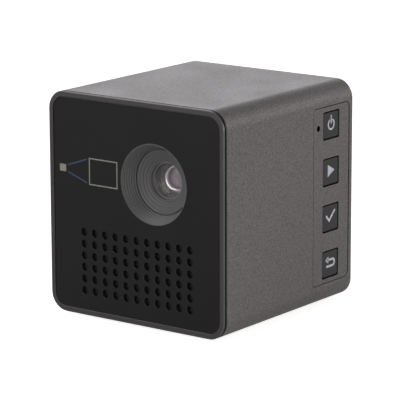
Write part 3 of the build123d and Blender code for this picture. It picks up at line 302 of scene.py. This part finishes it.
def machined(name, color, roughness, stretch=(1, 30, 1), metallic=1.0):
    """Turned or drawn metal: fine lines along one direction, darker in the dirt."""
    f = Finish(name, color, roughness, metallic)
    f.shade(f.noise(2.0, 3, stretch), 0.85, 1.12)
    f.shade(f.noise(6, 3), 0.92, 1.06)
    f.smudge(3, 0.07)
    f.bump(f.noise(1.5, 3, stretch), 0.008)
    return f.done()


def polished_metal():
    """Polished plating with faint swirl marks and a little haze."""
    f = Finish("polished_bead", (0.97, 0.95, 0.96), 0.34, 1.0)
    f.shade(f.noise(1.2, 3), 0.92, 1.04)
    f.smudge(0.8, 0.05)
    f.bump(f.noise(0.5, 2), 0.001)
    return f.done()


FLUORIDE_INDEX = 1.38       # magnesium fluoride, the usual lens coating


def coated_glass(name, film_nm, tint=(1, 1, 1), index=1.52, glint=(1, 1, 1), clear=1.0):
    """Lens glass. Its coating reflects the glint colour and a tinge that depends on the film's
    thickness, and glass that isn't quite clear mixes in its tint as a plain diffuse colour."""
    f = Finish(name, tint, 0.01)
    f.value("Specular Tint", (*glint, 1))
    f.shade(f.noise(5, 2), 0.99, 1.0)
    f.smudge(3, 0.008)
    f.value("Transmission Weight", clear).value("IOR", index)
    f.value("Thin Film Thickness", film_nm).value("Thin Film IOR", FLUORIDE_INDEX)
    return f.done()


WAVE_SCALE = 0.314          # the wave texture's scale for bands one unit apart


def woven(name, color, thread):
    """A fine plain weave: two sets of threads along X and Z, this far apart in millimetres."""
    f = Finish(name, color, 0.9)
    threads = []
    for direction in ("X", "Z"):
        wave = f.nodes.new("ShaderNodeTexWave")
        wave.bands_direction = direction
        wave.inputs["Scale"].default_value = WAVE_SCALE / (thread * MM)
        wave.inputs["Distortion"].default_value = 0.4
        f.links.new(f.place, wave.inputs["Vector"])
        threads.append(wave.outputs["Fac"])
    height = f.work_out("ShaderNodeMath", "MAXIMUM", *threads)[0]
    f.shade(height, 0.4, 1.3)
    f.shade(f.noise(3, 2), 0.9, 1.1)
    f.bump(height, 0.05)
    f.value("Sheen Weight", 0.2)
    return f.done()


def circuit_board():
    """Green solder mask with copper tracks that show through it."""
    f = Finish("board", (0.012, 0.085, 0.03), 0.3)
    tracks = f.nodes.new("ShaderNodeTexBrick")
    tracks.inputs["Scale"].default_value = 1 / (3.2 * MM)
    tracks.inputs["Mortar Size"].default_value = 0.03
    f.links.new(f.place, tracks.inputs["Vector"])
    f.tint(f.remap(tracks.outputs["Fac"], 0, 1, 0, 0.7), (0.03, 0.16, 0.05))
    f.shade(f.noise(10, 3), 0.9, 1.1)
    f.smudge(4, 0.06)
    f.bump(tracks.outputs["Fac"], 0.02)
    return f.done()


def printed_ink(name, color):
    """Printed ink, a little worn and uneven."""
    f = Finish(name, color, 0.5)
    f.shade(f.noise(0.5, 3), 0.85, 1.1)
    f.shade(f.noise(2.5, 2), 0.92, 1.08)
    f.smudge(1, 0.08)
    f.bump(f.noise(0.15, 2), 0.004)
    return f.done()


def make_finishes():
    """One material for each of the record's slots, and those of the pieces made here."""
    return {
        # sleeve_metal: front sets where its painted seam shade starts
        "sleeve_metal": blasted_metal("sleeve_metal", front=local_end("sleeve", 1, min)),
        # plate_metal: the second argument is shaded_below, where its painted gap shade starts
        "plate_metal": blasted_metal("plate_metal", local_end("key_plate", 0) - 0.1 * MM),
        "bezel_metal": bezel_metal(),
        "panel_gloss": gloss_black(),
        "hood_plastic": moulded("hood_plastic", (0.079, 0.077, 0.078), 0.52, 0.2, 0.006),
        "barrel_metal": machined("barrel_metal", (0.17, 0.165, 0.165), 0.45, (30, 1, 30), 0.2),
        "lens_glass": coated_glass("lens_glass", 100, (0.98, 0.96, 0.97),
                                   glint=(0.62, 0.66, 0.76), clear=0.95),
        # painted reflection: the middle lens is mostly a diffuse pink-grey that stands in for its
        # coating's reflection
        "inner_glass": coated_glass("inner_glass", 100, (0.58, 0.52, 0.58), 1.8, clear=0.25),
        "polished_bead": polished_metal(),
        # key_plastic: the last argument is shaded_below, where its painted gap shade starts
        "key_plastic": moulded("key_plastic", (0.045, 0.044, 0.044), 0.45, 0.25, 0.008, 0.0,
                               local_end("power_key", 0) - 0.05 * MM),
        "smoked_plastic": moulded("smoked_plastic", (0.004, 0.004, 0.005), 0.2, 0.3, 0.002, 0.5),
        "cover_plastic": moulded("cover_plastic", (0.022, 0.022, 0.023), 0.5, 0.4, 0.03),
        "inner_plastic": moulded("inner_plastic", (0.03, 0.03, 0.031), 0.55),
        "drive_plastic": moulded("drive_plastic", (0.05, 0.05, 0.052), 0.38, 0.3, 0.01),
        "foot_rubber": moulded("foot_rubber", (0.02, 0.02, 0.02), 0.85, 0.25, 0.04),
        "insert_brass": machined("insert_brass", (0.62, 0.43, 0.17), 0.3, (1, 1, 25)),
        "screw_steel": machined("screw_steel", (0.07, 0.07, 0.075), 0.35, (8, 1, 8)),
        "axle_steel": machined("axle_steel", (0.55, 0.55, 0.56), 0.25, (1, 20, 1)),
        "socket_steel": machined("socket_steel", (0.62, 0.61, 0.60), 0.28, (20, 1, 20)),
        "board": circuit_board(),
        "chip": moulded("chip", (0.02, 0.02, 0.022), 0.6, 0.15, 0.01),
        "switch_metal": machined("switch_metal", (0.5, 0.5, 0.5), 0.3),
        "cloth": woven("cloth", (0.006, 0.006, 0.006), 0.18),
        "cone_paper": moulded("cone_paper", (0.04, 0.04, 0.04), 0.7, 0.3, 0.03),
        "magnet": machined("magnet", (0.45, 0.45, 0.45), 0.3),
        "optic_glass": coated_glass("optic_glass", 120),
        "dichroic": coated_glass("dichroic", 480, (0.8, 0.7, 1.0)),
        "engine_metal": machined("engine_metal", (0.3, 0.3, 0.31), 0.5, (2, 2, 2), 0.8),
        "led": moulded("led", (0.75, 0.7, 0.5), 0.5),
        "fin_metal": machined("fin_metal", (0.62, 0.62, 0.64), 0.35),
        "battery_wrap": moulded("battery_wrap", (0.02, 0.05, 0.16), 0.35, 1.2, 0.02, 0.3),
        "wire": moulded("wire", (0.22, 0.02, 0.02), 0.5),
        "flex": moulded("flex", (0.35, 0.16, 0.03), 0.3),
        "ink": printed_ink("symbol_ink", (0.66, 0.70, 0.75)),
        "mark_ink": printed_ink("mark_ink", (0.21, 0.20, 0.18)),
        "mark_blue": printed_ink("mark_blue", (0.012, 0.045, 0.10)),
    }


# Nodes whose finish differs a little from the others in their slot
OWN_FINISH = {"key_plate": "plate_metal", "middle_lens": "inner_glass"}


def dress_cad(finishes):
    """Gives every CAD node the material of its slot, or its own."""
    for part in frame["record"]["subparts"]:
        mesh = NODES[part["node"]].data
        mesh.materials.clear()
        mesh.materials.append(finishes[OWN_FINISH.get(part["node"], part["material_slot"])])


# ---------------------------------------------------------------- new pieces
RIGHT, BACK, UP = Vector((1, 0, 0)), Vector((0, 1, 0)), Vector((0, 0, 1))


def add_piece(name, mesh, finish, body):
    """Makes a bmesh into a piece that rides on a CAD body."""
    bmesh.ops.recalc_face_normals(mesh, faces=mesh.faces)
    data = bpy.data.meshes.new(name)
    mesh.to_mesh(data)
    mesh.free()
    data.materials.append(finish)
    piece = bpy.data.objects.new(name, data)
    bpy.context.scene.collection.objects.link(piece)
    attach(piece, body)
    return piece


def arc(x, z, r, start, end, steps):
    """Points round a circle, in degrees counter-clockwise from the right."""
    turns = [radians(start + (end - start) * n / steps) for n in range(steps + 1)]
    return [(x + r * cos(t), z + r * sin(t)) for t in turns]


def stroke(points, width, closed=False):
    """The outline of a line of this width: one polygon, or two for a closed line."""
    count = len(points)
    left, right = [], []
    for n, point in enumerate(points):
        here = Vector(point)
        before = Vector(points[(n - 1) % count]) if closed or n else here
        after = Vector(points[(n + 1) % count]) if closed or n < count - 1 else here
        into = (here - before).normalized() if before != here else (after - here).normalized()
        out = (after - here).normalized() if after != here else into
        normal = Vector((-into.y - out.y, into.x + out.x)).normalized()
        reach = width / 2 / max(0.35, normal.dot(Vector((-into.y, into.x))))
        left.append(tuple(here + normal * reach))
        right.append(tuple(here - normal * reach))
    if closed:
        return [left, right]
    start_turn = degrees(atan2(left[0][1] - points[0][1], left[0][0] - points[0][0]))
    end_turn = degrees(atan2(right[-1][1] - points[-1][1], right[-1][0] - points[-1][0]))
    start_cap = arc(*points[0], width / 2, start_turn, start_turn + 180, 8)[1:-1]
    end_cap = arc(*points[-1], width / 2, end_turn, end_turn + 180, 8)[1:-1]
    return [start_cap + right + end_cap + left[::-1]]


def flat_piece(name, shapes, origin, across, up, thickness, finish, body):
    """Thin closed plates. Each shape is a list of loops in millimetres, the first its outline
    and the others its holes. across and up are the directions of the loops' two axes."""
    outward = across.cross(up)
    mesh = bmesh.new()
    for loops in shapes:
        flat = [[Vector((a, b, 0)) for a, b in loop] for loop in loops]
        points = [p for loop in flat for p in loop]
        layers = []
        for lift in (0.0, thickness * MM):
            layers.append([mesh.verts.new(origin + (across * p.x + up * p.y) * MM + outward * lift)
                           for p in points])
        for a, b, c in tessellate_polygon(flat):
            mesh.faces.new([layers[1][a], layers[1][b], layers[1][c]])
            mesh.faces.new([layers[0][c], layers[0][b], layers[0][a]])
        start = 0
        for loop in flat:
            for n in range(len(loop)):
                m = (n + 1) % len(loop)
                mesh.faces.new([layers[0][start + n], layers[0][start + m],
                                layers[1][start + m], layers[1][start + n]])
            start += len(loop)
    add_piece(name, mesh, finish, body)


INK = 0.02                  # thickness of the print, mm
LINE, THICK_LINE, PORT_LINE = 0.42, 0.52, 0.16      # widths of the symbols' lines, mm


def key_symbols(finishes):
    """Power, play, a tick in place of the lettering, and a return arrow."""
    ring = stroke(arc(0, -0.37, 1.13, 126, 414, 40), LINE)
    bar = stroke([(0, -0.05), (0, 1.5)], LINE)
    play = [[(-1.2, -1.42), (1.4, 0), (-1.2, 1.42)]]
    tick = stroke([(-1.6, 0.05), (-0.5, -1.05), (1.6, 1.05)], THICK_LINE)
    hook = stroke([(-1.0, 0.62)] + arc(0.95, -0.12, 0.74, 90, -90, 16) + [(-1.3, -0.86)], THICK_LINE)
    head = [[(-0.7, 1.45), (-0.7, -0.2), (-1.95, 0.62)]]
    symbols = {"power": (0.53, [ring, bar]), "play": (0.26, [play]), "ok": (0.46, [tick]),
               "back": (0.32, [hook, head])}
    for key, (lift, shapes) in symbols.items():
        center = middle(f"{key}_key")
        face = Vector((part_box(f"{key}_key")[1].x, center.y, center.z + lift * MM))
        flat_piece(f"{key}_symbol", shapes, face, BACK, UP, INK, finishes["ink"], f"{key}_button")


def front_mark(finishes):
    """A made-up pictogram: a small lamp whose beam widens onto a screen."""
    spot = Vector((-12.9 * MM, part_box("front_panel")[0].y, 33.4 * MM))
    screen = stroke([(0.2, -2.9), (7.9, -2.9), (7.9, 2.9), (0.2, 2.9)], 0.26, closed=True)
    lamp = [[(-8.2, -0.8), (-6.4, -0.8), (-6.4, 0.8), (-8.2, 0.8)]]
    beams = [stroke([(-5.8, side * 0.8), (-0.6, side * 2.6)], 0.3) for side in (-1, 1)]
    flat_piece("front_mark", [screen, lamp], spot, RIGHT, UP, INK, finishes["mark_ink"], "case")
    flat_piece("front_mark_beams", beams, spot, RIGHT, UP, INK, finishes["mark_blue"], "case")


def port_marks(finishes):
    """Small made-up pictograms on the rear cover: a plug's ring, a card and a charge bar."""
    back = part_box("rear_cover")[1].y
    card_corners = [(-0.9, -0.7), (0.9, -0.7), (0.9, 0.35), (0.45, 0.7), (-0.9, 0.7)]
    card = stroke(card_corners, PORT_LINE, closed=True)
    ring = stroke(arc(0, 0, 0.7, 0, 350, 30), PORT_LINE, closed=True)
    dot = [arc(0, 0, 0.24, 0, 340, 17)]
    cell_corners = [(-1.0, -0.55), (0.9, -0.55), (0.9, 0.55), (-1.0, 0.55)]
    cell = stroke(cell_corners, PORT_LINE, closed=True)
    charge = [[(-0.7, -0.28), (0.1, -0.28), (0.1, 0.28), (-0.7, 0.28)]]
    marks = {"audio_jack": (4.6, [ring, dot]), "card_socket": (3.4, [card]),
             "usb_socket": (3.4, [cell, charge])}
    for node, (drop, shapes) in marks.items():
        spot = Vector((middle(node).x, back, middle(node).z - drop * MM))
        flat_piece(f"{node}_mark", shapes, spot, -RIGHT, UP, INK, finishes["mark_ink"], "case")


TURN_STEPS = 96             # facets round a turned piece
DOME_STEPS = 24             # facets from the middle of a lens surface to its rim
MERGE = 1e-4                # points closer than this become one, mm
FRONT_LENS_R = 4.06         # just inside its seat
# depths of the front lens's two surfaces, at their middle and at their rim
FRONT_LENS_FACE, FRONT_LENS_BACK = (5.7, 5.98), (7.45, 7.0)
CONE = [(2.6, 8.85), (3.48, 8.2), (3.48, 8.97), (2.6, 9.2)]


def turned_piece(name, profile, finish, body):
    """A solid or ring turned round the lens axis. The profile is a closed list of (radius,
    depth) in millimetres, with depth counted from the front of the bezel."""
    center = middle("lens_barrel")
    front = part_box("front_bezel")[0].y
    mesh = bmesh.new()
    rings = []
    for n in range(TURN_STEPS):
        turn = 2 * pi * n / TURN_STEPS
        rings.append([mesh.verts.new((center.x + r * MM * cos(turn), front + depth * MM,
                                      center.z + r * MM * sin(turn))) for r, depth in profile])
    for n in range(TURN_STEPS):
        here, following = rings[n], rings[(n + 1) % TURN_STEPS]
        for k in range(len(profile)):
            m = (k + 1) % len(profile)
            mesh.faces.new([here[k], here[m], following[m], following[k]])
    bmesh.ops.remove_doubles(mesh, verts=mesh.verts, dist=MERGE * MM)
    piece = add_piece(name, mesh, finish, body)
    piece.data.shade_smooth()
    piece.data.set_sharp_from_angle(angle=radians(40))
    return piece


def dome(middle_depth, rim_depth):
    """The (radius, depth) points of a front lens surface, from its middle to its rim."""
    reaches = [n / DOME_STEPS for n in range(DOME_STEPS + 1)]
    return [(FRONT_LENS_R * reach, middle_depth + (rim_depth - middle_depth) * reach ** 2)
            for reach in reaches]


def lens_details(finishes):
    """The front lens with smooth surfaces, and behind it an aperture cone in front of the middle
    lens, with a polished bead round its hole."""
    surfaces = dome(*FRONT_LENS_FACE) + dome(*FRONT_LENS_BACK)[::-1]
    lens = turned_piece("front_lens_glass", surfaces, finishes["lens_glass"], "lens_cell")
    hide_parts("front_lens")
    turned_piece("aperture_cone", CONE, finishes["barrel_metal"], "lens_cell")
    turned_piece("aperture_bead", arc(2.36, 8.98, 0.46, 0, 345, 23), finishes["polished_bead"],
                 "lens_cell")


# ---------------------------------------------------------------- studio
BRIGHT_SIDE = Vector((-0.7, 0.7, 0.0))
ROOM, ROOM_BRIGHT, ROOM_CEILING = (0.42, 0.41, 0.41), (1.66, 1.64, 1.72), (0.14, 0.135, 0.135)


def make_world():
    """White behind the object. What lights it is a grey room with a dark ceiling, brighter near
    the horizon at the back left."""
    world = bpy.data.worlds.new("studio")
    bpy.context.scene.world = world
    world.use_nodes = True
    nodes, links = world.node_tree.nodes, world.node_tree.links

    def blend(factor, first, second):
        node = nodes.new("ShaderNodeMix")
        node.data_type = "RGBA"
        links.new(factor, node.inputs["Factor"])
        for socket, color in (("A", first), ("B", second)):
            if isinstance(color, tuple):
                node.inputs[socket].default_value = (*color, 1)
            else:
                links.new(color, node.inputs[socket])
        return node.outputs["Result"]

    def ramp(source, low, high):
        node = nodes.new("ShaderNodeMapRange")
        node.interpolation_type = "SMOOTHSTEP"
        node.inputs["From Min"].default_value = low
        node.inputs["From Max"].default_value = high
        links.new(source, node.inputs["Value"])
        return node.outputs[0]

    direction = nodes.new("ShaderNodeTexCoord").outputs["Generated"]
    height = nodes.new("ShaderNodeSeparateXYZ")
    links.new(direction, height.inputs[0])
    side = nodes.new("ShaderNodeVectorMath")
    side.operation = "DOT_PRODUCT"
    side.inputs[1].default_value = BRIGHT_SIDE
    links.new(direction, side.inputs[0])
    above = ramp(height.outputs["Z"], 0.24, 0.52)
    low_band = blend(ramp(side.outputs["Value"], -0.1, 0.85), ROOM, ROOM_BRIGHT)
    room = blend(above, low_band, ROOM_CEILING)
    path = nodes.new("ShaderNodeLightPath")
    seen = blend(path.outputs["Is Camera Ray"], room, (1.0, 0.99, 0.975))
    links.new(seen, nodes["Background"].inputs["Color"])


def area_light(name, place, size, power, aim=(0, 0, 25)):
    """A square soft light. Place, aim and size are in millimetres, power in watts."""
    data = bpy.data.lights.new(name, "AREA")
    data.size = size * MM
    data.energy = power
    light = bpy.data.objects.new(name, data)
    light.location = Vector(place) * MM
    away = light.location - Vector(aim) * MM
    light.rotation_euler = away.to_track_quat("Z", "Y").to_euler()
    light.visible_camera = False
    bpy.context.scene.collection.objects.link(light)


def make_floor():
    """A white floor that throws only a soft grey light back at the object."""
    mesh = bpy.data.meshes.new("floor")
    half = 3.0
    mesh.from_pydata([(-half, -half, 0), (half, -half, 0), (half, half, 0), (-half, half, 0)], [],
                     [(0, 1, 2, 3)])
    f = Finish("floor", (0.97, 0.965, 0.955), 0.9)
    f.shade(f.noise(80, 2), 0.99, 1.0)
    direct = f.nodes.new("ShaderNodeLightPath").outputs["Is Camera Ray"]
    f.tint(f.remap(direct, 0, 1, 1, 0), (0.33, 0.325, 0.325))
    f.value("Emission Color", (1, 1, 0.99, 1))
    f.links.new(f.remap(direct, 0, 1, 0.17, 0.8), f.shader.inputs["Emission Strength"])
    mesh.materials.append(f.done())
    floor = bpy.data.objects.new("floor", mesh)
    bpy.context.scene.collection.objects.link(floor)


make_camera()
make_world()
make_floor()
area_light("top_light", (-330, -300, 480), 420, 1.7)
area_light("front_light", (-120, -620, 90), 380, 1.5)
area_light("right_light", (620, -240, 90), 340, 1.9)
bpy.context.scene.view_settings.view_transform = "Standard"

FINISHES = make_finishes()
dress_cad(FINISHES)
key_symbols(FINISHES)
front_mark(FINISHES)
port_marks(FINISHES)
lens_details(FINISHES)
